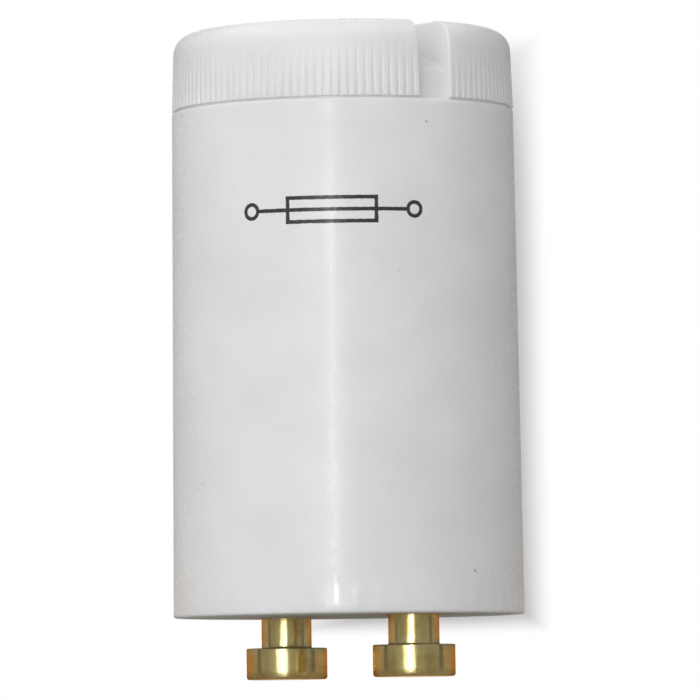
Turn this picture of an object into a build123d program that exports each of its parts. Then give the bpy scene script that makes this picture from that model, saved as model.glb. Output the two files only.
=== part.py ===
from build123d import *
from math import cos, pi, radians, sin, tan
import os

# Plug-in lamp starter: a moulded can with a ribbed, slotted closed end, a base plate pressed into
# its mouth, and turned brass pins that hold a small fuse inside. Lengths are in millimetres.
# The origin is the centre of the base plate's underside, +Z points to the closed end, and the
# pins stand on the X axis, heads down.

# The can, outside
base_diameter = 21.5
can_height = 35.8
wall_draft = 0.5
rim_edge_radius = 0.15

# The grip band between the parting line and the flat end
band_height = 4.9
band_draft = 1.9
parting_edge_radius = 0.12
parting_groove_height = 0.16
parting_groove_depth = 0.17
shoulder_radius = 1.3
rib_count = 130
rib_depth = 0.11
rib_crest_share = 0.42
rib_floor_share = 0.2

# The screwdriver slot, whose floor falls by a ramp at each end into the channel down the band
slot_width = 2.07
slot_depth = 2.0
slot_edge_radius = 0.15
slot_turn = -5.2
channel_depth = 0.65
ramp_run = 2.3
ramp_drop = 0.9
ramp_foot_radius = 0.6
ramp_top_radius = 3.0
land_beside_channel = 0.45

# The can, inside
wall_thickness = 1.05
end_thickness = 1.2
cavity_corner_radius = 0.8
mouth_wall = 0.8

# The base plate
plate_thickness = 3.0
plate_floor = 1.6
plate_rim_width = 1.3
plate_edge_chamfer = 0.2
plate_gap = 0.16
tooth_count = 52
tooth_clearance = 0.02
tooth_height = 1.5
tooth_rise = 0.5
tooth_share = 0.4
boss_radius = 3.0
web_width = 1.2

# The contact pins
pin_spacing = 12.7
pin_drop = 3.8
head_radius = 2.5
head_height = 1.95
head_face_edge = 0.2
head_back_edge = 0.08
neck_radius = 1.55
shank_radius = 1.2
shank_clearance = 0.02
rivet_radius = 1.75
rivet_height = 0.4
bore_radius = 0.45
bore_depth = 4.5

# The fuse and its leads
fuse_rise = 6.0
tube_radius = 1.6
tube_wall = 0.5
cap_wall = 0.2
cap_clearance = 0.02
cap_depth = 2.0
cap_end = 0.35
element_radius = 0.1
lead_radius = 0.3
lead_run = 0.9
lead_bend_radius = 0.9
lead_reach = 3.5
solder_radius = 1.2
solder_height = 0.9
solder_clearance = 0.02

# Places that follow from the sizes above
base_radius = base_diameter / 2
parting_z = can_height - band_height
slot_floor_z = can_height - slot_depth
cavity_top_z = can_height - end_thickness
pin_x = pin_spacing / 2
rivet_top_z = plate_thickness + rivet_height
fuse_z = plate_thickness + fuse_rise
fuse_half_length = pin_x - lead_bend_radius - lead_run
tube_half_length = fuse_half_length - cap_end

# How far a cutting shape runs past what it cuts, and how near counts as on the same level
cut_margin = 1.0
on_level = 0.001

# The can's round faces begin and end on the Y axis, well away from the slot along X
seam_aside = Rot(0, 0, 90)


def wall_radius(z):
    """Outside radius of the drafted wall at a height below the parting line."""
    return base_radius - z * tan(radians(wall_draft))


def band_radius(z):
    """Outside radius over the rib crests at a height above the parting line."""
    return wall_radius(parting_z) - (z - parting_z) * tan(radians(band_draft))


def spun(points, rounded=()):
    """A solid turned about Z from an outline of (radius, height) points with some corners rounded."""
    outline = make_face(Polyline(*[(r, z) for r, z in points], close=True))
    for corner, radius in rounded:
        vertex = outline.vertices().sort_by_distance((corner[0], corner[1], 0))[0]
        outline = fillet(vertex, radius)
    return revolve(Plane.XZ * outline, Axis.Z)


def can_outside():
    """The can as a solid: drafted wall, band, shoulder and flat end, with no parting groove yet."""
    shoulder = (band_radius(can_height), can_height)
    points = [
        (0, 0),
        (base_radius, 0),
        (wall_radius(parting_z), parting_z),
        shoulder,
        (0, can_height),
    ]
    rounded = [((base_radius, 0), rim_edge_radius), (shoulder, shoulder_radius)]
    return seam_aside * spun(points, rounded)


def with_parting_groove(body):
    """The body with the fine groove cut under its band and the wall's top edge rounded."""
    ring = Circle(base_radius + cut_margin) - Circle(wall_radius(parting_z) - parting_groove_depth)
    body -= Pos(0, 0, parting_z) * extrude(ring, amount=parting_groove_height)
    at_parting = body.edges().filter_by_position(Axis.Z, parting_z - on_level, parting_z + on_level)
    return fillet(max(at_parting, key=lambda edge: edge.length), parting_edge_radius)


def slot_tool(width, grow):
    """What the slot and its end channels take away, seen from the side and grown inwards by a wall."""
    channel_floor = band_radius(slot_floor_z) - channel_depth - grow
    floor_z = slot_floor_z - grow
    ramp_top_x = channel_floor - ramp_run
    ramp_foot_z = floor_z - ramp_drop
    low_z = parting_z + parting_groove_height / 2 - grow
    outer = base_radius + cut_margin
    top_z = can_height + cut_margin
    side = Polyline(
        (-outer, low_z),
        (-channel_floor, low_z),
        (-channel_floor, ramp_foot_z),
        (-ramp_top_x, floor_z),
        (ramp_top_x, floor_z),
        (channel_floor, ramp_foot_z),
        (channel_floor, low_z),
        (outer, low_z),
        (outer, top_z),
        (-outer, top_z),
        close=True,
    )
    face = make_face(side)
    feet = [v for v in face.vertices() if abs(v.Y - ramp_foot_z) < on_level]
    face = fillet(feet, ramp_foot_radius)
    tops = [v for v in face.vertices() if abs(v.Y - floor_z) < on_level]
    face = fillet(tops, ramp_top_radius)
    return extrude(Plane.XZ * face, amount=width / 2, both=True)


def rib_tool():
    """A ring whose inner outline is the ribs, so that cutting it leaves them standing on the band."""
    step = 2 * pi / rib_count
    beyond_crest = 1.3
    floor_radius = wall_radius(parting_z) - rib_depth
    outer_radius = floor_radius + rib_depth * beyond_crest
    half_floor = step * rib_floor_share / 2
    half_mouth = step * (1 - rib_crest_share) / 2
    half_outer = half_floor + (half_mouth - half_floor) * beyond_crest
    keep_clear = slot_width / 2 + land_beside_channel
    points = []
    for k in range(rib_count):
        middle = k * step
        beside_channel = abs(sin(middle)) * outer_radius < keep_clear
        groove_radius = outer_radius if beside_channel else floor_radius
        for angle, radius in (
            (middle - half_outer, outer_radius),
            (middle - half_floor, groove_radius),
            (middle + half_floor, groove_radius),
            (middle + half_outer, outer_radius),
        ):
            points.append((radius * cos(angle), radius * sin(angle)))
    ring = Circle(base_radius + cut_margin) - make_face(Polyline(*points, close=True))
    low_z = parting_z + parting_groove_height / 2
    return Pos(0, 0, low_z) * extrude(ring, amount=can_height + cut_margin - low_z)


def can_inside():
    """The hollow of the can: mouth for the plate, ledge, drafted cavity and the web under the slot."""
    mouth_radius = base_radius - mouth_wall
    ledge_radius = wall_radius(plate_thickness) - wall_thickness
    top_radius = wall_radius(parting_z) - wall_thickness - band_height * tan(radians(wall_draft))
    points = [
        (0, -cut_margin),
        (mouth_radius, -cut_margin),
        (mouth_radius, plate_thickness),
        (ledge_radius, plate_thickness),
        (top_radius, cavity_top_z),
        (0, cavity_top_z),
    ]
    cavity = seam_aside * spun(points, [((top_radius, cavity_top_z), cavity_corner_radius)])
    return cavity - slot_tool(slot_width + 2 * wall_thickness, wall_thickness)


def slot_mouth_edges(body):
    """The edges where the slot's and the channels' walls come out through the can's outside."""
    walls = body.faces().filter_by(Axis.Y)
    floor_radius = band_radius(slot_floor_z) - channel_depth / 2
    lowest = parting_z + parting_groove_height
    mouth = []
    for edge in (e for wall in walls for e in wall.edges()):
        middle = edge.center()
        over_floor = middle.Z > slot_floor_z + slot_depth / 2
        beside_channel = abs(middle.X) > floor_radius and middle.Z > lowest
        if over_floor or beside_channel:
            mouth.append(edge)
    return mouth


def canister():
    """The moulded can: its slot lies along X until the whole can is turned to its place."""
    body = can_outside() - slot_tool(slot_width, 0)
    body = fillet(slot_mouth_edges(body), slot_edge_radius)
    body = with_parting_groove(body) - rib_tool() - can_inside()
    return Rot(0, 0, slot_turn) * body


def base_plate():
    """The plate: toothed edge, cored inside with a rim, two bosses and a web, holes for the pins."""
    edge_radius = base_radius - mouth_wall - plate_gap
    plate = Cylinder(edge_radius, plate_thickness, align=(Align.CENTER, Align.CENTER, Align.MIN))
    lower = plate.edges().group_by(Axis.Z)[0]
    plate = chamfer(lower, plate_edge_chamfer)
    hollow = Pos(0, 0, plate_floor) * extrude(Circle(edge_radius - plate_rim_width), amount=plate_thickness)
    bosses = Sketch() + [loc * Circle(boss_radius) for loc in GridLocations(pin_spacing, 1, 2, 1)]
    web = Rectangle(pin_spacing, web_width)
    islands = Pos(0, 0, plate_floor) * extrude(bosses + web, amount=plate_thickness)
    plate -= hollow - islands
    step = 360 / tooth_count
    tip_radius = base_radius - mouth_wall - tooth_clearance
    half_angle = radians(step * tooth_share / 2)
    tooth = make_face(
        Polyline(
            (edge_radius - plate_gap, -edge_radius * tan(half_angle)),
            (tip_radius * cos(half_angle / 2), -tip_radius * sin(half_angle / 2)),
            (tip_radius * cos(half_angle / 2), tip_radius * sin(half_angle / 2)),
            (edge_radius - plate_gap, edge_radius * tan(half_angle)),
            close=True,
        )
    )
    teeth = Sketch() + [Rot(0, 0, k * step) * tooth for k in range(tooth_count)]
    plate += Pos(0, 0, tooth_rise) * extrude(teeth, amount=tooth_height)
    hole = Cylinder(shank_radius + shank_clearance, 2 * (plate_thickness + cut_margin))
    for side in (-1, 1):
        plate -= Pos(side * pin_x, 0, 0) * hole
    return plate


def contact_pin(side):
    """One turned pin: head, neck, shank through the plate, riveted end and a bore for the lead."""
    head_top = -pin_drop + head_height
    face_corner = (head_radius, -pin_drop)
    back_corner = (head_radius, head_top)
    points = [
        (0, -pin_drop),
        face_corner,
        back_corner,
        (neck_radius, head_top),
        (neck_radius, 0),
        (shank_radius, 0),
        (shank_radius, plate_thickness),
        (rivet_radius, plate_thickness),
        (rivet_radius, rivet_top_z),
        (bore_radius, rivet_top_z),
        (bore_radius, rivet_top_z - bore_depth),
        (0, rivet_top_z - bore_depth),
    ]
    rounded = [
        (face_corner, head_face_edge),
        (back_corner, head_back_edge),
        ((rivet_radius, rivet_top_z), rivet_height / 2),
    ]
    return Pos(side * pin_x, 0, 0) * spun(points, rounded)


def along_x(radius, start, end):
    """A round bar on the fuse's axis between two places along X."""
    bar = Cylinder(radius, abs(end - start), rotation=(0, 90, 0))
    return Pos((start + end) / 2, 0, fuse_z) * bar


def fuse_tube():
    """The glass tube, open at both ends."""
    outside = along_x(tube_radius, -tube_half_length, tube_half_length)
    return outside - along_x(tube_radius - tube_wall, -fuse_half_length, fuse_half_length)


def fuse_end_cap(side):
    """A drawn cup pushed over one end of the tube."""
    inner_radius = tube_radius + cap_clearance
    mouth_x = side * (tube_half_length - cap_depth)
    cup = along_x(inner_radius + cap_wall, mouth_x, side * fuse_half_length)
    return cup - along_x(inner_radius, mouth_x - side * cut_margin, side * tube_half_length)


def fuse_element():
    """The straight fuse wire between the insides of the two caps."""
    return along_x(element_radius, -tube_half_length, tube_half_length)


def fuse_lead(side):
    """The wire from one cap, bent down into the pin's bore."""
    corner = (side * pin_x, 0, fuse_z)
    path = FilletPolyline(
        (side * fuse_half_length, 0, fuse_z),
        corner,
        (side * pin_x, 0, rivet_top_z - lead_reach),
        radius=lead_bend_radius,
    )
    section = Plane(origin=path @ 0, z_dir=path % 0) * Circle(lead_radius)
    return sweep(section, path)


def lead_solder(side):
    """The solder cone on the pin's riveted end, round the lead."""
    inner = lead_radius + solder_clearance
    points = [
        (inner, rivet_top_z),
        (solder_radius, rivet_top_z),
        (inner + solder_clearance, rivet_top_z + solder_height),
        (inner, rivet_top_z + solder_height),
    ]
    return Pos(side * pin_x, 0, 0) * spun(points)


pieces = {
    "canister": canister(),
    "base_plate": base_plate(),
    "contact_pin_right": contact_pin(1),
    "contact_pin_left": contact_pin(-1),
    "fuse_tube": fuse_tube(),
    "fuse_end_cap_right": fuse_end_cap(1),
    "fuse_end_cap_left": fuse_end_cap(-1),
    "fuse_element": fuse_element(),
    "fuse_lead_right": fuse_lead(1),
    "fuse_lead_left": fuse_lead(-1),
    "lead_solder_right": lead_solder(1),
    "lead_solder_left": lead_solder(-1),
}

os.makedirs("parts", exist_ok=True)
for name, piece in pieces.items():
    export_step(piece, f"parts/{name}.step")
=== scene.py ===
from math import cos, pi, radians, sin, sqrt, tan

import bmesh
import bpy
from mathutils import Matrix, Vector


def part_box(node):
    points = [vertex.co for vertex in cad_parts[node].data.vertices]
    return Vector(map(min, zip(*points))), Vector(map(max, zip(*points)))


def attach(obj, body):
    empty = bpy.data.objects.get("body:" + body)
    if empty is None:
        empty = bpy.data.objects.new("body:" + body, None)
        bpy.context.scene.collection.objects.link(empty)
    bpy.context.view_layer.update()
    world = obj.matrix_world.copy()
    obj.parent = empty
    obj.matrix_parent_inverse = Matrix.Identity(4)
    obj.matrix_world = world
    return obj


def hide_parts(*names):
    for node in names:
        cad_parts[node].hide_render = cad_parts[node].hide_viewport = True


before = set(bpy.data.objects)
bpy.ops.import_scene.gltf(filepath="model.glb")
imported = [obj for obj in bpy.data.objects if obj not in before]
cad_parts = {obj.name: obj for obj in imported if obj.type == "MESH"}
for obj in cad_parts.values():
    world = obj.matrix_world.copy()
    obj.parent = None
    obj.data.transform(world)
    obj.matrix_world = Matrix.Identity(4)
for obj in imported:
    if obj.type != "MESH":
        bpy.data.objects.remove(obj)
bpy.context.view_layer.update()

# Where it is seen from
# The photographer's eye is level with the pins and looks slightly up at the can, with the right-hand
# pin and the near end of the screwdriver slot turned to the right of the line of sight.
mm = 0.001
eye_bearing = -37.83
eye = Vector((339.6 * mm, -263.7 * mm, -7.63 * mm))
looked_at = Vector((0.16 * mm, 0.21 * mm, 16.31 * mm))
camera_lean = radians(-0.772)
picture_pixels = 700
lens_pixels = 7021
sensor_width = 36.0

forward = (looked_at - eye).normalized()
level_right = forward.cross(Vector((0, 0, 1))).normalized()
level_up = level_right.cross(forward)
camera_right = cos(camera_lean) * level_right + sin(camera_lean) * level_up
camera_up = -sin(camera_lean) * level_right + cos(camera_lean) * level_up
camera_axes = Matrix((camera_right, camera_up, -forward)).transposed().to_4x4()
camera_data = bpy.data.cameras.new("camera")
camera_data.sensor_width = sensor_width
camera_data.lens = sensor_width * lens_pixels / picture_pixels
camera_data.clip_start = 0.05
camera_data.clip_end = 20
camera = bpy.data.objects.new("camera", camera_data)
camera.matrix_world = Matrix.Translation(eye) @ camera_axes
bpy.context.scene.collection.objects.link(camera)
bpy.context.scene.camera = camera

# Canister
# The can is one injection moulding in satin off-white plastic: a drafted cup with a parting line where
# the two halves of the mould meet, a finely ribbed grip band above it, and a screwdriver slot pressed
# into its closed end that runs out into a smooth channel down each side of the band.
base_radius = 10.75 * mm
can_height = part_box("canister")[1].z
wall_slope = tan(radians(0.5))
band_slope = tan(radians(1.9))
band_height = 4.9 * mm
parting_z = can_height - band_height
groove_height = 0.16 * mm
groove_depth = 0.17 * mm
groove_edge = 0.12 * mm
rim_edge = 0.15 * mm
shoulder_radius = 1.3 * mm
slot_width = 2.07 * mm
slot_depth = 2.0 * mm
slot_edge = 0.15 * mm
slot_turn = radians(-5.2)
channel_depth = 0.65 * mm
ramp_run = 2.3 * mm
ramp_drop = 0.9 * mm
ramp_foot = 0.6 * mm
ramp_top = 3.0 * mm
wall = 1.05 * mm
end_wall = 1.2 * mm
cavity_corner = 0.8 * mm
mouth_wall = 0.8 * mm
mouth_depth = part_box("base_plate")[1].z
past_surface = 0.6 * mm
seam_gap = 0.001 * mm
rib_count = 130
rib_depth = 0.11 * mm
rib_floor_reach = 0.08
rib_crest_reach = 0.31
rib_overrise = 1.3
columns_per_rib = 10
land_beside_channel = 0.45 * mm
tooth_count = 52
lump_rows = (0.4 * mm, 3.4 * mm)
lump_top_reach = 0.02
lump_foot_reach = 0.42
weakest_bite = 0.1
can_crease = radians(48)
slot_floor_z = can_height - slot_depth
band_foot_z = parting_z + groove_height / 2


def wall_radius(z):
    """Outside radius of the drafted wall."""
    return base_radius - z * wall_slope


def band_radius(z):
    """Outside radius over the crests of the grip ribs."""
    return wall_radius(parting_z) - (z - parting_z) * band_slope


channel_floor = band_radius(slot_floor_z) - channel_depth


def eased(corners, steps=8):
    """An outline through (radius, height, rounding) corners, each rounded one drawn as an arc."""
    points = []
    for place, (x, y, rounding) in enumerate(corners):
        corner = Vector((x, y))
        if rounding == 0:
            points.append(corner)
            continue
        back = (Vector(corners[place - 1][:2]) - corner).normalized()
        ahead = (Vector(corners[place + 1][:2]) - corner).normalized()
        half_angle = back.angle(ahead) / 2
        centre = corner + (back + ahead).normalized() * rounding / sin(half_angle)
        start = corner + back * rounding / tan(half_angle) - centre
        end = corner + ahead * rounding / tan(half_angle) - centre
        swing = start.angle(end)
        for step in range(steps + 1):
            share = step / steps
            arm = start * sin((1 - share) * swing) + end * sin(share * swing)
            points.append(centre + arm / sin(swing))
    return points


def along(start, end, steps):
    """Plain corners spaced evenly between two (radius, height) places, both left out."""
    runs = [(step + 1) / (steps + 1) for step in range(steps)]
    return [(start[0] + (end[0] - start[0]) * run, start[1] + (end[1] - start[1]) * run, 0) for run in runs]


def new_tree(name, sockets):
    """An empty geometry tree with a geometry in and out, and named inputs for its sizes."""
    tree = bpy.data.node_groups.new(name, "GeometryNodeTree")
    tree.interface.new_socket("Geometry", in_out="OUTPUT", socket_type="NodeSocketGeometry")
    tree.interface.new_socket("Geometry", in_out="INPUT", socket_type="NodeSocketGeometry")
    for socket, kind in sockets.items():
        tree.interface.new_socket(socket, in_out="INPUT", socket_type="NodeSocket" + kind)
    return tree


def node(tree, kind, feeds=(), **settings):
    """One node with its settings made; each input is fed by a value or by another node's socket."""
    made = tree.nodes.new(kind)
    for setting, value in settings.items():
        setattr(made, setting, value)
    for key, value in dict(feeds).items():
        if isinstance(value, bpy.types.NodeSocket):
            tree.links.new(value, made.inputs[key])
        else:
            made.inputs[key].default_value = value
    return made


def maths(tree, operation, *values):
    """The outcome of one step of arithmetic on values or on other nodes' sockets."""
    return node(tree, "ShaderNodeMath", dict(enumerate(values)), operation=operation).outputs[0]


def ranged(tree, value, start, end, low=0.0, high=1.0, curve="LINEAR"):
    """A value's run from start to end made a run from low to high, and held beyond both ends."""
    feeds = {"Value": value, "From Min": start, "From Max": end, "To Min": low, "To Max": high}
    return node(tree, "ShaderNodeMapRange", feeds, interpolation_type=curve).outputs["Result"]


def ended(tree, shape, material):
    """The geometry tree, ended with its shape made real, given its material and put out."""
    real = node(tree, "GeometryNodeRealizeInstances", {"Geometry": shape}).outputs[0]
    dressed = node(tree, "GeometryNodeSetMaterial", {"Geometry": real, "Material": material}).outputs[0]
    node(tree, "NodeGroupOutput", {"Geometry": dressed})
    return tree


def turned_form():
    """A tree that turns an outline of points, radius along X and height along Z, once about the Z axis."""
    tree = new_tree("turned_form", {"Columns": "Int", "Material": "Material"})
    given = node(tree, "NodeGroupInput").outputs
    outline = given["Geometry"]
    rows = node(tree, "GeometryNodeAttributeDomainSize", {"Geometry": outline}).outputs["Point Count"]
    columns = given["Columns"]
    seam = maths(tree, "ADD", columns, 1)
    skin = node(tree, "GeometryNodeMeshGrid", {"Vertices X": seam, "Vertices Y": rows}).outputs["Mesh"]

    # The grid's points are numbered up each column in turn, so a number gives its column and its row
    index = node(tree, "GeometryNodeInputIndex").outputs[0]
    column = maths(tree, "FLOOR", maths(tree, "DIVIDE", maths(tree, "ADD", index, 0.5), rows))
    row = maths(tree, "SUBTRACT", index, maths(tree, "MULTIPLY", column, rows))
    position = node(tree, "GeometryNodeInputPosition").outputs[0]
    sample = node(tree, "GeometryNodeSampleIndex", {"Geometry": outline, "Value": position, "Index": row},
                  data_type="FLOAT_VECTOR").outputs[0]
    flat = node(tree, "ShaderNodeSeparateXYZ", {0: sample}).outputs
    angle = maths(tree, "MULTIPLY", maths(tree, "DIVIDE", column, columns), 2 * pi)
    place = node(tree, "ShaderNodeCombineXYZ", {
        "X": maths(tree, "MULTIPLY", flat["X"], maths(tree, "COSINE", angle)),
        "Y": maths(tree, "MULTIPLY", flat["X"], maths(tree, "SINE", angle)),
        "Z": flat["Z"],
    }).outputs[0]
    placed = node(tree, "GeometryNodeSetPosition", {"Geometry": skin, "Position": place}).outputs[0]
    closed = node(tree, "GeometryNodeMergeByDistance", {"Geometry": placed, "Distance": seam_gap}).outputs[0]
    return ended(tree, closed, given["Material"])


def grip_and_rim():
    """A tree that cuts the ribs into the band of a turned can and raises faint lumps above its rim."""
    tree = new_tree("grip_and_rim", {
        "Ribs": "Int",
        "Rib floor radius": "Float",
        "Rib depth": "Float",
        "Band foot": "Float",
        "Smooth half width": "Float",
        "Teeth": "Int",
        "Teeth turn": "Float",
        "Lump height": "Float",
        "Lump level": "Float",
        "Lump reach": "Float",
        "Seed": "Int",
        "Material": "Material",
    })
    given = node(tree, "NodeGroupInput").outputs
    position = node(tree, "GeometryNodeInputPosition").outputs[0]
    at = node(tree, "ShaderNodeSeparateXYZ", {0: position}).outputs
    turn = maths(tree, "DIVIDE", maths(tree, "ARCTAN2", at["Y"], at["X"]), 2 * pi)
    radius = node(tree, "ShaderNodeVectorMath", {
        0: node(tree, "ShaderNodeCombineXYZ", {"X": at["X"], "Y": at["Y"]}).outputs[0],
    }, operation="LENGTH").outputs["Value"]

    # Ribs: a groove's floor at each whole number round the can, and a crest half way between two; none
    # beside the channels, and none below the band
    ribs_round = maths(tree, "MULTIPLY", turn, given["Ribs"])
    nearest = maths(tree, "ROUND", ribs_round)
    off_middle = maths(tree, "ABSOLUTE", maths(tree, "SUBTRACT", ribs_round, nearest))
    level = ranged(tree, off_middle, rib_floor_reach, rib_crest_reach, 0.0, rib_overrise, "SMOOTHSTEP")
    rib_radius = maths(tree, "MULTIPLY_ADD", level, given["Rib depth"], given["Rib floor radius"])
    middle_angle = maths(tree, "MULTIPLY", maths(tree, "DIVIDE", nearest, given["Ribs"]), 2 * pi)
    aside = maths(tree, "MULTIPLY", maths(tree, "ABSOLUTE", maths(tree, "SINE", middle_angle)), radius)
    beside_channel = maths(tree, "LESS_THAN", aside, given["Smooth half width"])
    below_band = maths(tree, "LESS_THAN", at["Z"], given["Band foot"])
    untouched = maths(tree, "MAXIMUM", beside_channel, below_band)
    limit = maths(tree, "ADD", rib_radius, untouched)
    ribbed = maths(tree, "MINIMUM", radius, limit)

    # Lumps: the wall swells over each of the plate's teeth, by a chance amount
    teeth_round = maths(tree, "MULTIPLY", maths(tree, "ADD", turn, given["Teeth turn"]), given["Teeth"])
    tooth = maths(tree, "ROUND", teeth_round)
    off_tooth = maths(tree, "ABSOLUTE", maths(tree, "SUBTRACT", teeth_round, tooth))
    swell = ranged(tree, off_tooth, lump_top_reach, lump_foot_reach, 1.0, 0.0, "SMOOTHERSTEP")
    chance = {2: weakest_bite, 3: 1.0, "ID": tooth, "Seed": given["Seed"]}
    bite = node(tree, "FunctionNodeRandomValue", chance, data_type="FLOAT").outputs[1]
    off_level = maths(tree, "ABSOLUTE", maths(tree, "SUBTRACT", at["Z"], given["Lump level"]))
    fade = ranged(tree, off_level, 0.0, given["Lump reach"], 1.0, 0.0, curve="SMOOTHERSTEP")
    lump = maths(tree, "MULTIPLY", maths(tree, "MULTIPLY", swell, bite), fade)
    raised = maths(tree, "MULTIPLY_ADD", lump, given["Lump height"], ribbed)

    # Each point is moved in or out along its own radius
    radius_but_zero = maths(tree, "MAXIMUM", radius, 0.01 * mm)
    share = maths(tree, "DIVIDE", raised, radius_but_zero)
    moved = node(tree, "ShaderNodeCombineXYZ", {
        "X": maths(tree, "MULTIPLY", at["X"], share),
        "Y": maths(tree, "MULTIPLY", at["Y"], share),
        "Z": at["Z"],
    }).outputs[0]
    shape = given["Geometry"]
    shaped = node(tree, "GeometryNodeSetPosition", {"Geometry": shape, "Position": moved}).outputs[0]
    return ended(tree, shaped, given["Material"])


def place_mesh(name, mesh):
    """An object at the origin that holds a mesh."""
    piece = bpy.data.objects.new(name, mesh)
    bpy.context.scene.collection.objects.link(piece)
    return piece


def made_plain(piece):
    """The piece with what its modifiers make kept as a plain mesh, and the modifiers gone."""
    bpy.context.view_layer.update()
    evaluated = piece.evaluated_get(bpy.context.evaluated_depsgraph_get())
    mesh = bpy.data.meshes.new_from_object(evaluated)
    piece.modifiers.clear()
    piece.data = mesh
    return piece


def shaped_by(piece, tree, sizes):
    """The piece after a geometry tree with these named sizes has been run on it and made plain."""
    modifier = piece.modifiers.new(tree.name, "NODES")
    modifier.node_group = tree
    for socket in tree.interface.items_tree:
        if socket.item_type == "SOCKET" and socket.in_out == "INPUT" and socket.name in sizes:
            modifier[socket.identifier] = sizes[socket.name]
    return made_plain(piece)


def outwards(piece):
    """The piece with its faces all pointing out."""
    shell = bmesh.new()
    shell.from_mesh(piece.data)
    bmesh.ops.recalc_face_normals(shell, faces=shell.faces)
    shell.to_mesh(piece.data)
    shell.free()
    return piece


def turned(name, outline, columns, material):
    """A solid turned about Z from an outline that starts and ends on the axis."""
    mesh = bpy.data.meshes.new(name)
    mesh.from_pydata([(x, 0, z) for x, z in outline], [], [])
    piece = place_mesh(name, mesh)
    shaped_by(piece, turned_tree, {"Columns": columns, "Material": material})
    return outwards(piece)


def cut_by(piece, tool):
    """The piece with a tool's space cut out of it; the tool is then thrown away."""
    modifier = piece.modifiers.new("cut", "BOOLEAN")
    modifier.operation = "DIFFERENCE"
    modifier.solver = "EXACT"
    modifier.object = tool
    made_plain(piece)
    bpy.data.objects.remove(tool)
    return piece


def smooth_but_for(piece, sharp_angle):
    """Smooth shading over the whole piece, kept crisp at edges that turn by more than an angle."""
    shell = bmesh.new()
    shell.from_mesh(piece.data)
    for face in shell.faces:
        face.smooth = True
    for edge in shell.edges:
        edge.smooth = edge.is_manifold and edge.calc_face_angle(0) < sharp_angle
    shell.to_mesh(piece.data)
    shell.free()
    return piece


def slot_side(grow, steps=9):
    """The floor line of one half of the slot, from the foot of its channel up and over to the axis."""
    floor_x = channel_floor - grow
    floor_z = slot_floor_z - grow
    corners = [
        (floor_x, band_foot_z - grow, 0),
        (floor_x, floor_z - ramp_drop, ramp_foot),
        (floor_x - ramp_run, floor_z, ramp_top),
        (0, floor_z, 0),
    ]
    return eased(corners, steps)


def solid_from_rings(name, rings):
    """A closed solid skinned over rings of the same number of points, with flat ends."""
    shell = bmesh.new()
    loops = [[shell.verts.new(point) for point in ring] for ring in rings]
    for near, far in zip(loops, loops[1:]):
        for place in range(len(near)):
            ahead = (place + 1) % len(near)
            shell.faces.new((near[place], near[ahead], far[ahead], far[place]))
    shell.faces.new(loops[0])
    shell.faces.new(reversed(loops[-1]))
    bmesh.ops.recalc_face_normals(shell, faces=shell.faces)
    mesh = bpy.data.meshes.new(name)
    shell.to_mesh(mesh)
    shell.free()
    return place_mesh(name, mesh)


def slot_cutter():
    """What the slot and its channels take away, its walls flaring at the top as the rounded edges do."""
    half = slot_width / 2
    band_lean = band_slope
    shoulder_centre = Vector((band_radius(can_height) - shoulder_radius, can_height - shoulder_radius))
    foot = Vector((band_radius(band_foot_z), band_foot_z))
    band_steps, shoulder_steps, top_steps = 5, 12, 4

    # Stations up the band, over the shoulder and in to the axis, as many as the floor line has points
    stations = []
    for step in range(band_steps):
        level = foot.y + (shoulder_centre.y - foot.y) * step / band_steps
        stations.append((Vector((band_radius(level), level)), Vector((cos(band_lean), sin(band_lean)))))
    for step in range(shoulder_steps + 1):
        lean = band_lean + (pi / 2 - band_lean) * step / shoulder_steps
        out = Vector((cos(lean), sin(lean)))
        stations.append((shoulder_centre + out * shoulder_radius, out))
    for step in range(1, top_steps + 1):
        stations.append((Vector((shoulder_centre.x * (1 - step / top_steps), can_height)), Vector((0, 1))))
    floor_line = slot_side(0)

    # At each, half a ring from above the surface, round the flare, and down to the floor; the flare
    # also follows the round wall, which falls away beside the slot
    flare = [radians(angle) for angle in (75, 58, 42, 27, 13, 0)]
    halves = []
    for place, (outer, out) in enumerate(stations):
        half_ring = [(outer + out * past_surface, half + slot_edge)]
        for angle in flare:
            aside = half + slot_edge * (1 - cos(angle))
            drop = slot_edge * (1 - sin(angle))
            curve = outer.x - sqrt(max(outer.x**2 - aside**2, 0)) if outer.x > 3 * aside else 0
            half_ring.append((outer - out * (drop + curve * out.x), aside))
        half_ring.append((floor_line[place], half))
        if place == 0:
            half_ring = [(Vector((point.x, band_foot_z)), aside) for point, aside in half_ring]
        halves.append(half_ring)
    rings = []
    for side, order in ((1, halves), (-1, list(reversed(halves))[1:])):
        for half_ring in order:
            near = [(side * point.x, -aside, point.y) for point, aside in half_ring]
            far = [(side * point.x, aside, point.y) for point, aside in reversed(half_ring)]
            rings.append(near + far)
    return solid_from_rings("slot_cutter", rings)


def slot_housing():
    """The block round the slot that the can's hollow leaves standing."""
    line = slot_side(wall)
    top = can_height + past_surface
    out = base_radius + past_surface
    side = [(out, line[0].y), *[(p.x, p.y) for p in line]]
    outline = side + [(-x, z) for x, z in reversed(side[:-1])] + [(-out, top), (out, top)]
    half = slot_width / 2 + wall
    return solid_from_rings("slot_housing", [[(x, y, z) for x, z in outline] for y in (-half, half)])


def new_group(name, sizes, outcomes):
    """An empty shader group that takes a place and named sizes, and puts out plain values."""
    group = bpy.data.node_groups.new(name, "ShaderNodeTree")
    group.interface.new_socket("Vector", in_out="INPUT", socket_type="NodeSocketVector")
    for socket in sizes:
        group.interface.new_socket(socket, in_out="INPUT", socket_type="NodeSocketFloat")
    for socket in outcomes:
        group.interface.new_socket(socket, in_out="OUTPUT", socket_type="NodeSocketFloat")
    return group


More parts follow.
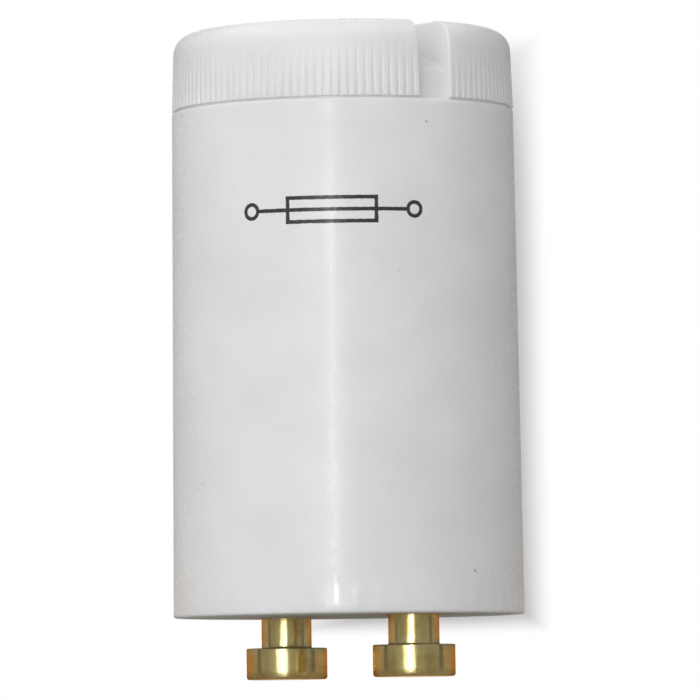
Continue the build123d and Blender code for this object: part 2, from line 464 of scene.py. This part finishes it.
def plastic_skin():
    """A shader group: the fine grain and slow waves of a moulded surface, as a height and a tone."""
    group = new_group("moulded_skin", ("Grain size", "Wave size", "Wave share"), ("Height", "Tone", "Grain"))
    given = node(group, "NodeGroupInput").outputs
    grain_scale = maths(group, "DIVIDE", 1.0, given["Grain size"])
    wave_scale = maths(group, "DIVIDE", 1.0, given["Wave size"])
    grain = node(group, "ShaderNodeTexNoise", {
        "Vector": given["Vector"], "Scale": grain_scale, "Detail": 3.0, "Roughness": 0.6,
    }).outputs["Fac"]
    wave = node(group, "ShaderNodeTexNoise", {
        "Vector": given["Vector"], "Scale": wave_scale, "Detail": 1.0, "Roughness": 0.4,
    }).outputs["Fac"]
    height = maths(group, "MULTIPLY_ADD", wave, given["Wave share"], grain)
    node(group, "NodeGroupOutput", {"Height": height, "Tone": wave, "Grain": grain})
    return group


def new_finish(name):
    """A material with its Principled shader, and the Object coordinates that its patterns read."""
    finish = bpy.data.materials.new(name)
    finish.use_nodes = True
    tree = finish.node_tree
    shader = tree.nodes["Principled BSDF"]
    place = node(tree, "ShaderNodeTexCoord").outputs["Object"]
    return finish, tree, shader, place


def mixed(tree, share, first, second):
    """A colour between two colours, each a value or a socket."""
    blend = node(tree, "ShaderNodeMix", {0: share, 6: first, 7: second}, data_type="RGBA")
    return blend.outputs[2]


def spot_on_wall(tree, place, bearing, height, full, none, strength):
    """A soft round spot on the can's wall, at its strength within one reach and gone beyond another."""
    turn = radians(bearing)
    middle = (wall_radius(height) * cos(turn), wall_radius(height) * sin(turn), height)
    apart = node(tree, "ShaderNodeVectorMath", {0: place, 1: middle}, operation="DISTANCE").outputs["Value"]
    return ranged(tree, apart, full, none, strength, 0.0, "SMOOTHSTEP")


def can_plastic(skin):
    """Satin off-white moulding with a small printed symbol, a few dark specks and two polished spots."""
    finish, tree, shader, place = new_finish("satin_white_moulding")
    shader.inputs["Coat Roughness"].default_value = 0.17
    shader.inputs["Coat IOR"].default_value = 1.5
    shader.inputs["IOR"].default_value = 1.46
    shader.inputs["Specular IOR Level"].default_value = 0.2
    shader.inputs["Subsurface Weight"].default_value = 0.7
    shader.inputs["Subsurface Radius"].default_value = (1.0, 1.0, 1.0)
    shader.inputs["Subsurface Scale"].default_value = 0.8 * mm
    surface = node(tree, "ShaderNodeGroup", node_tree=skin)
    tree.links.new(place, surface.inputs["Vector"])
    surface.inputs["Grain size"].default_value = 0.34 * mm
    surface.inputs["Wave size"].default_value = 4.0 * mm
    surface.inputs["Wave share"].default_value = 1.6

    # The print: a fuse symbol, its body a long box with the line through it and a ring at each end
    print_bearing = radians(-41.8)
    print_level = 24.2 * mm
    stroke = 0.2 * mm
    ring_place = 5.1 * mm
    ring_radius = 0.42 * mm
    box_half_width = 2.7 * mm
    box_half_height = 0.72 * mm
    ink_edge = 0.03 * mm
    ink_grain = 0.25 * mm
    ink_bleed = 0.06 * mm
    print_turn = (0, 0, -print_bearing)
    turned_place = node(tree, "ShaderNodeMapping", {"Vector": place, "Rotation": print_turn}).outputs[0]
    at = node(tree, "ShaderNodeSeparateXYZ", {0: turned_place}).outputs
    across = maths(tree, "MULTIPLY", maths(tree, "ARCTAN2", at["Y"], at["X"]), wall_radius(print_level))
    across = maths(tree, "ABSOLUTE", across)
    rise = maths(tree, "ABSOLUTE", maths(tree, "SUBTRACT", at["Z"], print_level))
    to_ring = maths(tree, "POWER", maths(tree, "SUBTRACT", across, ring_place), 2.0)
    to_ring = maths(tree, "SQRT", maths(tree, "ADD", to_ring, maths(tree, "POWER", rise, 2.0)))
    ring = maths(tree, "ABSOLUTE", maths(tree, "SUBTRACT", to_ring, ring_radius))
    past_end = maths(tree, "SUBTRACT", across, ring_place - ring_radius)
    line = maths(tree, "MAXIMUM", rise, past_end)
    past_side = maths(tree, "SUBTRACT", across, box_half_width)
    past_top = maths(tree, "SUBTRACT", rise, box_half_height)
    box = maths(tree, "ABSOLUTE", maths(tree, "MAXIMUM", past_side, past_top))
    nearest = maths(tree, "MINIMUM", maths(tree, "MINIMUM", ring, line), box)
    ink_noise = node(tree, "ShaderNodeTexNoise", {
        "Vector": place, "Scale": 1 / ink_grain, "Detail": 2.0,
    }).outputs["Fac"]
    ragged = maths(tree, "MULTIPLY_ADD", ink_noise, ink_bleed, nearest)
    ink = ranged(tree, ragged, stroke / 2 + ink_edge, stroke / 2 + 2 * ink_edge, 1.0, 0.0, curve="SMOOTHSTEP")
    above_wall = maths(tree, "GREATER_THAN", at["X"], 0.0)
    ink = maths(tree, "MULTIPLY", ink, above_wall)

    # Dark specks caught in the moulding, each at a bearing and a height on the wall, with its width
    dirt = 0.0
    for bearing, level, size in (
        (-106.2, 30.5, 0.08),
        (-9.1, 29.5, 0.07),
        (7.3, 2.5, 0.09),
        (-93.0, 8.0, 0.05),
        (-20.0, 20.5, 0.04),
    ):
        mark = spot_on_wall(tree, place, bearing, level * mm, size * mm * 0.4, size * mm * 1.6, 0.55)
        dirt = maths(tree, "MAXIMUM", dirt, mark)

    tone = ranged(tree, surface.outputs["Tone"], 0.3, 0.7)
    plain = mixed(tree, tone, (0.79, 0.79, 0.79, 1), (0.83, 0.83, 0.832, 1))
    specked = mixed(tree, dirt, plain, (0.1, 0.1, 0.1, 1))
    colour = mixed(tree, ink, specked, (0.055, 0.055, 0.058, 1))
    tree.links.new(colour, shader.inputs["Base Color"])
    roughness = ranged(tree, surface.outputs["Grain"], 0.35, 0.65, 0.19, 0.30)
    tree.links.new(roughness, shader.inputs["Roughness"])
    glaze = ranged(tree, surface.outputs["Grain"], 0.44, 0.58, 0.0, 0.28)

    # Two spots that handling has polished, each at a bearing, a height and a width: one under the
    # parting line and one at the rim
    for bearing, level, size in ((-42.3, 30.2, 0.8), (-41.5, 0.9, 1.2)):
        polish = spot_on_wall(tree, place, bearing, level * mm, size * mm * 0.3, size * mm, 1.0)
        glaze = maths(tree, "MAXIMUM", glaze, polish)
    tree.links.new(glaze, shader.inputs["Coat Weight"])
    bump = node(tree, "ShaderNodeBump", {"Height": surface.outputs["Height"], "Distance": 0.02 * mm})
    tree.links.new(bump.outputs[0], shader.inputs["Normal"])
    return finish


turned_tree = turned_form()
moulded_skin = plastic_skin()
white_moulding = can_plastic(moulded_skin)
flat_edge = band_radius(can_height) - shoulder_radius
can_outline = eased([
    (0, 0, 0),
    (base_radius * 0.6, 0, 0),
    (base_radius, 0, rim_edge),
    *along((wall_radius(lump_rows[0]), lump_rows[0]), (wall_radius(lump_rows[1]), lump_rows[1]), 10),
    *along((wall_radius(lump_rows[1]), lump_rows[1]), (wall_radius(parting_z), parting_z), 4),
    (wall_radius(parting_z), parting_z, groove_edge),
    (wall_radius(parting_z) - groove_depth, parting_z, 0),
    (wall_radius(parting_z) - groove_depth, parting_z + groove_height, 0),
    (band_radius(parting_z + groove_height), parting_z + groove_height, 0),
    *along(
        (band_radius(parting_z + groove_height), parting_z + groove_height),
        (band_radius(can_height - shoulder_radius), can_height - shoulder_radius),
        5,
    ),
    (band_radius(can_height), can_height, shoulder_radius),
    (flat_edge * 0.97, can_height, 0),
    (flat_edge * 0.5, can_height, 0),
    (0, can_height, 0),
])
canister = turned("canister_shell", can_outline, rib_count * columns_per_rib, white_moulding)
shaped_by(canister, grip_and_rim(), {
    "Ribs": rib_count,
    "Rib floor radius": wall_radius(parting_z) - rib_depth,
    "Rib depth": rib_depth,
    "Band foot": band_foot_z,
    "Smooth half width": slot_width / 2 + land_beside_channel,
    "Teeth": tooth_count,
    "Teeth turn": slot_turn / (2 * pi),
    "Lump height": 0.03 * mm,
    "Lump level": 1.1 * mm,
    "Lump reach": 1.2 * mm,
    "Seed": 5,
    "Material": white_moulding,
})
cut_by(canister, slot_cutter())
hollow_top_radius = wall_radius(parting_z) - wall - band_height * wall_slope
hollow_outline = eased([
    (0, -past_surface, 0),
    (base_radius - mouth_wall, -past_surface, 0),
    (base_radius - mouth_wall, mouth_depth, 0),
    (wall_radius(mouth_depth) - wall, mouth_depth, 0),
    (hollow_top_radius, can_height - end_wall, cavity_corner),
    (0, can_height - end_wall, 0),
])
hollow = turned("hollow", hollow_outline, 2 * rib_count, white_moulding)
cut_by(hollow, slot_housing())
cut_by(canister, hollow)
canister.data.transform(Matrix.Rotation(slot_turn, 4, "Z"))
smooth_but_for(canister, can_crease)
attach(canister, "root")
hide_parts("canister")

# Base plate
# The plate that closes the can's mouth is moulded in the same plastic, and its colour here is set a little
# greyer than the can's.
# Its toothed edge is pressed into the mouth, where the teeth bite into the wall and hold it.


def plate_plastic(skin):
    """Pale grey moulding with a faint grain."""
    finish, tree, shader, place = new_finish("satin_grey_moulding")
    surface = node(tree, "ShaderNodeGroup", node_tree=skin)
    tree.links.new(place, surface.inputs["Vector"])
    surface.inputs["Grain size"].default_value = 0.3 * mm
    surface.inputs["Wave size"].default_value = 4.0 * mm
    surface.inputs["Wave share"].default_value = 1.0
    colour = mixed(tree, surface.outputs["Tone"], (0.66, 0.66, 0.65, 1), (0.76, 0.76, 0.75, 1))
    tree.links.new(colour, shader.inputs["Base Color"])
    roughness = ranged(tree, surface.outputs["Grain"], 0.35, 0.65, 0.42, 0.55)
    tree.links.new(roughness, shader.inputs["Roughness"])
    bump = node(tree, "ShaderNodeBump", {"Height": surface.outputs["Height"], "Distance": 0.01 * mm})
    tree.links.new(bump.outputs[0], shader.inputs["Normal"])
    return finish


def dress(node_name, finish):
    """Gives a piece of the frame its finish."""
    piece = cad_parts[node_name]
    piece.data.materials.clear()
    piece.data.materials.append(finish)


dress("base_plate", plate_plastic(moulded_skin))

# Contact pins
# Each pin is turned from brass bar: a flat head that turns under the holder's spring, a neck, and a
# shank that is riveted over inside the plate. The lathe tool left fine rings round them.
pin_x = 6.35 * mm
pin_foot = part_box("contact_pin_right")[0].z
pin_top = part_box("contact_pin_right")[1].z
head_radius = 2.5 * mm
head_top = pin_foot + 1.95 * mm
head_face_edge = 0.2 * mm
head_back_edge = 0.08 * mm
neck_radius = 1.55 * mm
neck_foot_edge = 0.1 * mm
shank_radius = 1.2 * mm
rivet_radius = 1.75 * mm
rivet_edge = 0.2 * mm
bore_radius = 0.45 * mm
bore_depth = 4.5 * mm
pin_columns = 144
pin_crease = radians(40)


def metal_marks():
    """A shader group: fine tool marks or draw lines and a slow change of tone, from a line coordinate."""
    group = new_group("tool_marks", ("Along", "Line pitch", "Blotch size"), ("Height", "Tone"))
    given = node(group, "NodeGroupInput").outputs
    step = maths(group, "DIVIDE", given["Along"], given["Line pitch"])
    marks = node(group, "ShaderNodeTexNoise", {"W": step, "Scale": 1.0, "Detail": 3.0, "Roughness": 0.7},
                 noise_dimensions="1D").outputs["Fac"]
    blotch_scale = maths(group, "DIVIDE", 1.0, given["Blotch size"])
    blotch = node(group, "ShaderNodeTexNoise", {
        "Vector": given["Vector"], "Scale": blotch_scale, "Detail": 2.0, "Roughness": 0.5,
    }).outputs["Fac"]
    node(group, "NodeGroupOutput", {"Height": marks, "Tone": blotch})
    return group


def pin_brass(marks):
    """Turned brass, bright, with rings from the tool and a little warm tarnish."""
    finish, tree, shader, place = new_finish("turned_brass")
    shader.inputs["Metallic"].default_value = 1.0
    shader.inputs["Specular Tint"].default_value = (0.75, 0.42, 0.2, 1)
    at = node(tree, "ShaderNodeSeparateXYZ", {0: place}).outputs
    from_axis = maths(tree, "SUBTRACT", maths(tree, "ABSOLUTE", at["X"]), pin_x)
    reach = maths(tree, "ADD", maths(tree, "POWER", from_axis, 2.0), maths(tree, "POWER", at["Y"], 2.0))
    tool_path = maths(tree, "ADD", maths(tree, "SQRT", reach), at["Z"])
    lines = node(tree, "ShaderNodeGroup", node_tree=marks)
    tree.links.new(place, lines.inputs["Vector"])
    tree.links.new(tool_path, lines.inputs["Along"])
    lines.inputs["Line pitch"].default_value = 0.06 * mm
    lines.inputs["Blotch size"].default_value = 1.1 * mm
    tarnish = ranged(tree, lines.outputs["Tone"], 0.42, 0.7)
    colour = mixed(tree, tarnish, (0.78, 0.67, 0.35, 1), (0.68, 0.53, 0.23, 1))
    tree.links.new(colour, shader.inputs["Base Color"])
    roughness = ranged(tree, lines.outputs["Height"], 0.3, 0.7, 0.14, 0.22)
    tree.links.new(roughness, shader.inputs["Roughness"])
    bump = node(tree, "ShaderNodeBump", {"Height": lines.outputs["Height"], "Distance": 0.002 * mm})
    tree.links.new(bump.outputs[0], shader.inputs["Normal"])
    return finish


tool_marks = metal_marks()
brass = pin_brass(tool_marks)
pin_outline = eased([
    (0, pin_foot, 0),
    (head_radius * 0.5, pin_foot, 0),
    (head_radius * 0.8, pin_foot, 0),
    (head_radius, pin_foot, head_face_edge),
    *along((head_radius, pin_foot + head_face_edge), (head_radius, head_top - head_back_edge), 4),
    (head_radius, head_top, head_back_edge),
    (neck_radius, head_top, neck_foot_edge),
    *along((neck_radius, head_top + neck_foot_edge), (neck_radius, 0), 4),
    (neck_radius, 0, 0),
    (shank_radius, 0, 0),
    (shank_radius, mouth_depth, 0),
    (rivet_radius, mouth_depth, 0),
    (rivet_radius, pin_top, rivet_edge),
    (bore_radius, pin_top, 0),
    (bore_radius, pin_top - bore_depth, 0),
    (0, pin_top - bore_depth, 0),
], 6)
for side, hand in ((1, "right"), (-1, "left")):
    pin = turned("brass_pin_" + hand, pin_outline, pin_columns, brass)
    pin.data.transform(Matrix.Translation((side * pin_x, 0, 0)))
    smooth_but_for(pin, pin_crease)
    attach(pin, "root")
    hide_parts("contact_pin_" + hand)

# Fuse
# Inside the can a small glass fuse joins the pins: two plated caps on a glass tube, a fine wire through
# it, and a tinned lead from each cap that is soldered into the end of a pin.


def metal_finish(name, low, high, roughness, axis, pitch):
    """A metal with marks along one axis, its colour between two tones and its gloss between two values."""
    finish, tree, shader, place = new_finish(name)
    shader.inputs["Metallic"].default_value = 1.0
    at = node(tree, "ShaderNodeSeparateXYZ", {0: place}).outputs
    lines = node(tree, "ShaderNodeGroup", node_tree=tool_marks)
    tree.links.new(place, lines.inputs["Vector"])
    tree.links.new(at[axis], lines.inputs["Along"])
    lines.inputs["Line pitch"].default_value = pitch
    lines.inputs["Blotch size"].default_value = 0.6 * mm
    colour = mixed(tree, lines.outputs["Tone"], low, high)
    tree.links.new(colour, shader.inputs["Base Color"])
    spread = ranged(tree, lines.outputs["Height"], 0.3, 0.7, roughness[0], roughness[1])
    tree.links.new(spread, shader.inputs["Roughness"])
    bump = node(tree, "ShaderNodeBump", {"Height": lines.outputs["Height"], "Distance": 0.003 * mm})
    tree.links.new(bump.outputs[0], shader.inputs["Normal"])
    return finish


def fuse_glass():
    """Clear tube with faint draw ripples along it."""
    finish, tree, shader, place = new_finish("clear_tube_glass")
    shader.inputs["Transmission Weight"].default_value = 1.0
    shader.inputs["IOR"].default_value = 1.5
    ripple_size = 1.5 * mm
    ripple = node(tree, "ShaderNodeTexNoise", {
        "Vector": place, "Scale": 1 / ripple_size, "Detail": 1.0,
    }).outputs["Fac"]
    colour = mixed(tree, ripple, (0.9, 0.95, 0.94, 1), (0.97, 0.99, 0.98, 1))
    tree.links.new(colour, shader.inputs["Base Color"])
    roughness = ranged(tree, ripple, 0.3, 0.7, 0.01, 0.05)
    tree.links.new(roughness, shader.inputs["Roughness"])
    return finish


nickel = metal_finish(
    "nickel_plating", (0.60, 0.57, 0.52, 1), (0.72, 0.69, 0.64, 1), (0.14, 0.26), "X", 0.08 * mm)
fine_wire = metal_finish(
    "drawn_fuse_wire", (0.46, 0.44, 0.41, 1), (0.60, 0.58, 0.54, 1), (0.25, 0.4), "Y", 0.02 * mm)
tinned = metal_finish(
    "tinned_lead", (0.62, 0.62, 0.60, 1), (0.74, 0.74, 0.72, 1), (0.22, 0.38), "Y", 0.05 * mm)
solder = metal_finish(
    "set_solder", (0.55, 0.56, 0.57, 1), (0.70, 0.71, 0.72, 1), (0.2, 0.42), "Z", 0.2 * mm)
dress("fuse_tube", fuse_glass())
dress("fuse_element", fine_wire)
for hand in ("right", "left"):
    dress("fuse_end_cap_" + hand, nickel)
    dress("fuse_lead_" + hand, tinned)
    dress("lead_solder_" + hand, solder)

# Table, paper and light
# The starter stands on its pins on a white table, and white paper upright behind it takes its soft shadow.
# A tall window and a skylight light it, and a lamp fills its back. A bright pane, a narrow bright gap, grey
# and brown cloths and a mat hang or lie round it for its gloss to reflect, and glossy rays alone see them.
table_reach = 1.5
hanging_radius = 0.7
near_radius = 0.69
mat_level = pin_foot + 0.02 * mm
grey = (1.0, 0.99, 0.95)
brown = (1.0, 0.60, 0.30)


def bare_sheet(name, corners, faces, finish_name):
    """A sheet of plain faces, and its material's tree, emptied."""
    mesh = bpy.data.meshes.new(name)
    mesh.from_pydata(corners, [], faces)
    sheet = place_mesh(name, mesh)
    finish = bpy.data.materials.new(finish_name)
    finish.use_nodes = True
    finish.node_tree.nodes.clear()
    sheet.data.materials.append(finish)
    return sheet, finish.node_tree


def unseen_by(sheet, *rays):
    """Hides a sheet from some kinds of ray."""
    for ray in rays:
        setattr(sheet, "visible_" + ray, False)


def seen_directly(tree):
    """One for a ray that shows a thing itself: from the camera, off a gloss or through glass."""
    ray = node(tree, "ShaderNodeLightPath").outputs
    seen = maths(tree, "MAXIMUM", ray["Is Camera Ray"], ray["Is Glossy Ray"])
    return maths(tree, "MAXIMUM", seen, ray["Is Transmission Ray"])


def white_ground(name, corners, albedo, glow_level):
    """A white sheet that shows from its face only and keeps the shadow that falls on it."""
    sheet, tree = bare_sheet(name, corners, [(0, 1, 2, 3)], name + "_white")
    seen = seen_directly(tree)
    diffuse = node(tree, "ShaderNodeBsdfDiffuse", {"Color": (albedo, albedo, albedo, 1)}).outputs[0]
    strength = maths(tree, "MULTIPLY", seen, glow_level)
    glow = node(tree, "ShaderNodeEmission", {"Color": (1, 1, 1, 1), "Strength": strength}).outputs[0]
    lit = node(tree, "ShaderNodeAddShader", {0: diffuse, 1: glow}).outputs[0]
    clear = node(tree, "ShaderNodeBsdfTransparent").outputs[0]
    back = node(tree, "ShaderNodeNewGeometry").outputs["Backfacing"]
    see_through = maths(tree, "MULTIPLY", back, seen)
    shown = node(tree, "ShaderNodeMixShader", {0: see_through, 1: lit, 2: clear}).outputs[0]
    node(tree, "ShaderNodeOutputMaterial", {"Surface": shown})


table_corners = [(x, y, pin_foot) for x, y in (
    (-table_reach, -table_reach),
    (table_reach, -table_reach),
    (table_reach, table_reach),
    (-table_reach, table_reach),
)]
white_ground("table", table_corners, albedo=0.5, glow_level=0.72)

to_eye = Vector((cos(radians(eye_bearing)), sin(radians(eye_bearing)), 0))
to_right = Vector((-to_eye.y, to_eye.x, 0))
middle = Vector((0, 0, can_height / 2))


def lamp(name, bearing, distance, height, width, tall, power):
    """A soft rectangular source at a bearing from the camera, left of it where negative, aimed at the can."""
    data = bpy.data.lights.new(name, "AREA")
    data.shape = "RECTANGLE"
    data.size = width
    data.size_y = tall
    data.energy = power
    source = bpy.data.objects.new(name, data)
    turn = radians(bearing)
    place = (to_eye * cos(turn) + to_right * sin(turn)) * distance + Vector((0, 0, height))
    aim = (middle - place).to_track_quat("-Z", "Y").to_matrix().to_4x4()
    source.matrix_world = Matrix.Translation(place) @ aim
    source.visible_camera = False
    bpy.context.scene.collection.objects.link(source)
    return source


# Each lamp's bearing and distance, height, width, tallness and power
for name, *sizes in (
    ("window", -15, 0.45, 0.235, 0.56, 0.47, 1.50),
    ("skylight", -62, 0.40, 0.46, 0.24, 0.24, 0.42),
    ("back_fill", 178, 0.50, 0.25, 0.50, 0.45, 0.95),
):
    lamp(name, *sizes).visible_glossy = False
lamp("bright_gap", -9.0, 0.44, 0.03, 0.014, 0.12, 0.21).visible_diffuse = False


def seen_in_gloss(name, corners, faces, colour, level):
    """A sheet that gives off an even tone and is seen only in what shines."""
    cloth, tree = bare_sheet(name, corners, faces, name + "_tone")
    glow = node(tree, "ShaderNodeEmission", {"Color": (*colour, 1), "Strength": level}).outputs[0]
    node(tree, "ShaderNodeOutputMaterial", {"Surface": glow})
    unseen_by(cloth, "camera", "diffuse", "shadow", "transmission")


def hung_round(name, first_bearing, last_bearing, low, high, colour, level, radius):
    """A cloth or a bright pane hung round part of the table, from one bearing off the camera to another."""
    folds = 24
    corners = []
    for fold in range(folds + 1):
        turn = radians(first_bearing + (last_bearing - first_bearing) * fold / folds)
        place = (to_eye * cos(turn) + to_right * sin(turn)) * radius
        corners += [(place.x, place.y, low), (place.x, place.y, high)]
    faces = [(2 * k, 2 * k + 1, 2 * k + 3, 2 * k + 2) for k in range(folds)]
    seen_in_gloss(name, corners, faces, colour, level)


def mat_round(name, hole, radius, colour, level):
    """A mat on the table round the starter."""
    folds = 48
    corners = []
    for fold in range(folds):
        turn = 2 * pi * fold / folds
        corners += [(cos(turn) * out, sin(turn) * out, mat_level) for out in (hole, radius)]
    count = 2 * folds
    faces = [(2 * k, 2 * k + 1, (2 * k + 3) % count, (2 * k + 2) % count) for k in range(folds)]
    seen_in_gloss(name, corners, faces, colour, level)


# Each hanging's first and last bearing, low and high edge, colour, level and radius
for hanging in (
    ("pane", -30, -1.5, 0.016, 0.13, (1, 1, 1), 2.3, hanging_radius),
    ("pane_foot", -26, 2, -0.4, 0.016, (1.0, 0.98, 0.88), 8.0, hanging_radius),
    ("cloth_left", -76, -31, -0.4, 0.6, grey, 0.32, hanging_radius),
    ("cloth_left_fold", -96, -77, -0.4, 0.6, grey, 0.14, hanging_radius),
    ("cloth_left_back", -170, -97, 0.015, 0.6, grey, 0.34, hanging_radius),
    ("cloth_left_foot", -170, -97, -0.4, 0.015, brown, 0.75, hanging_radius),
    ("left_foot_near", -50, -26.5, -0.4, 0.016, (0.95, 1.0, 0.62), 0.85, near_radius),
    ("cloth_right", 2.5, 70, -0.4, 0.6, grey, 0.31, hanging_radius),
    ("cloth_right_edge", -1, 2, 0.016, 0.6, grey, 0.31, hanging_radius),
    ("cloth_right_fold", 71, 90, -0.4, 0.6, grey, 0.12, hanging_radius),
    ("cloth_right_back", 91, 170, 0.015, 0.6, grey, 0.26, hanging_radius),
    ("cloth_right_foot", 91, 170, -0.4, 0.015, brown, 0.75, hanging_radius),
    ("right_foot_near", 6, 30, -0.4, 0.016, (0.80, 1.0, 0.52), 0.70, near_radius),
):
    hung_round(*hanging)
mat_round("mat", hole=1 * mm, radius=near_radius, colour=(1.0, 0.86, 0.68), level=0.27)


def white_wall(name, behind, half_width, low, high):
    """White paper upright behind the can that takes its soft shadow and shows from straight in front only."""
    foot = to_eye * -behind
    side = to_right * half_width
    corners = [foot - side, foot + side, foot + side, foot - side]
    corners = [(c.x, c.y, level) for c, level in zip(corners, (low, low, high, high))]
    paper, tree = bare_sheet(name, corners, [(0, 1, 2, 3)], name + "_white")
    at = node(tree, "ShaderNodeTexCoord").outputs["Object"]
    across = node(tree, "ShaderNodeVectorMath", {0: at, 1: to_right}, operation="DOT_PRODUCT")
    sideways = across.outputs["Value"]
    level = node(tree, "ShaderNodeSeparateXYZ", {0: at}).outputs["Z"]

    # The shaded part ends just past the can's right edge, and each bound fades from 0 inside it to 1
    right_fade = (10.6 * mm, 12.9 * mm)
    left_fade = (-6.0 * mm, 4.0 * mm)
    top_fade = (35.0 * mm, 37.0 * mm)
    foot_fade = (-1.2 * mm, 0.6 * mm)
    past_right = ranged(tree, sideways, *right_fade, curve="SMOOTHSTEP")
    past_left = ranged(tree, sideways, *left_fade, 1.0, 0.0, curve="SMOOTHSTEP")
    past_top = ranged(tree, level, *top_fade, curve="SMOOTHSTEP")
    past_foot = ranged(tree, level, *foot_fade, 1.0, 0.0, curve="SMOOTHSTEP")
    past = maths(tree, "MAXIMUM", past_right, past_left)
    past = maths(tree, "MAXIMUM", past, past_top)
    past = maths(tree, "MAXIMUM", past, past_foot)

    # That part is lit paper, and beyond it the paper is as white as the background
    paper_white = node(tree, "ShaderNodeBsdfDiffuse", {"Color": (0.8, 0.8, 0.8, 1)}).outputs[0]
    near_glow = node(tree, "ShaderNodeEmission", {"Color": (1, 1, 1, 1), "Strength": 0.10}).outputs[0]
    lit = node(tree, "ShaderNodeAddShader", {0: paper_white, 1: near_glow}).outputs[0]
    plain = node(tree, "ShaderNodeEmission", {"Color": (1, 1, 1, 1), "Strength": 1.0}).outputs[0]
    face = node(tree, "ShaderNodeMixShader", {0: past, 1: lit, 2: plain}).outputs[0]

    # Seen from behind or from well aside, the paper is clear
    clear = node(tree, "ShaderNodeBsdfTransparent").outputs[0]
    back = node(tree, "ShaderNodeNewGeometry").outputs["Backfacing"]
    turned_away = node(tree, "ShaderNodeLayerWeight", {"Blend": 0.5}).outputs["Facing"]
    edge_on = ranged(tree, turned_away, 0.03, 0.15, curve="SMOOTHSTEP")
    hidden = maths(tree, "MAXIMUM", back, edge_on)
    shown = node(tree, "ShaderNodeMixShader", {0: hidden, 1: face, 2: clear}).outputs[0]
    node(tree, "ShaderNodeOutputMaterial", {"Surface": shown})
    unseen_by(paper, "diffuse", "glossy", "transmission", "shadow")


white_wall("paper_behind", behind=base_radius + 0.3 * mm, half_width=60 * mm, low=pin_foot, high=60 * mm)

world = bpy.data.worlds.new("room")
bpy.context.scene.world = world
world.use_nodes = True
sky = world.node_tree
sky.nodes.clear()
room_level = 0.455
white_level = 1.0
levels = {0: seen_directly(sky), 2: room_level, 3: white_level}
strength = node(sky, "ShaderNodeMix", levels, data_type="FLOAT").outputs[0]
background = node(sky, "ShaderNodeBackground", {"Color": (1, 1, 1, 1), "Strength": strength}).outputs[0]
node(sky, "ShaderNodeOutputWorld", {"Surface": background})
bpy.context.scene.view_settings.view_transform = "Standard"
